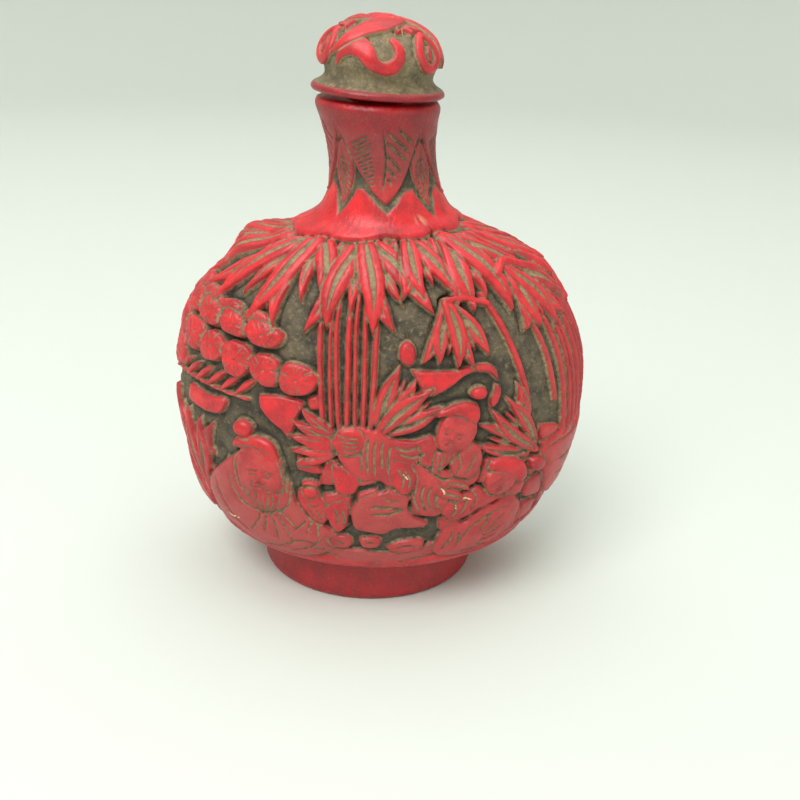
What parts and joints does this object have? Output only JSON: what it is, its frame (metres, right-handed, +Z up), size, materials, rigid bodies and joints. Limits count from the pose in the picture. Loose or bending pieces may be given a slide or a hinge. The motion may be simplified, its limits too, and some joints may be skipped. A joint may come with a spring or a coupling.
{
  "type": "snuff bottle",
  "caption": "Flattened round snuff bottle with a carved body, an oval foot, a narrow neck and a domed stopper that lifts out.",
  "frame": {"origin": "under the middle of the foot, on the surface that the bottle stands on", "axes": "+Z up the neck, +X to the right of someone facing the carved front, +Y away from them, through the thin way of the body"},
  "size_m": [0.0577, 0.0368, 0.0767],
  "materials": {
    "bottle": "moulded red resin in the manner of cinnabar lacquer, waxy semi-gloss, with olive grey patina in the carving",
    "stopper": "moulded red resin, waxy semi-gloss, with khaki patina between the scrolls"
  },
  "bodies": {
    "root": {"bottle": "bottle", "stopper": "stopper"}
  },
  "joints": []
}
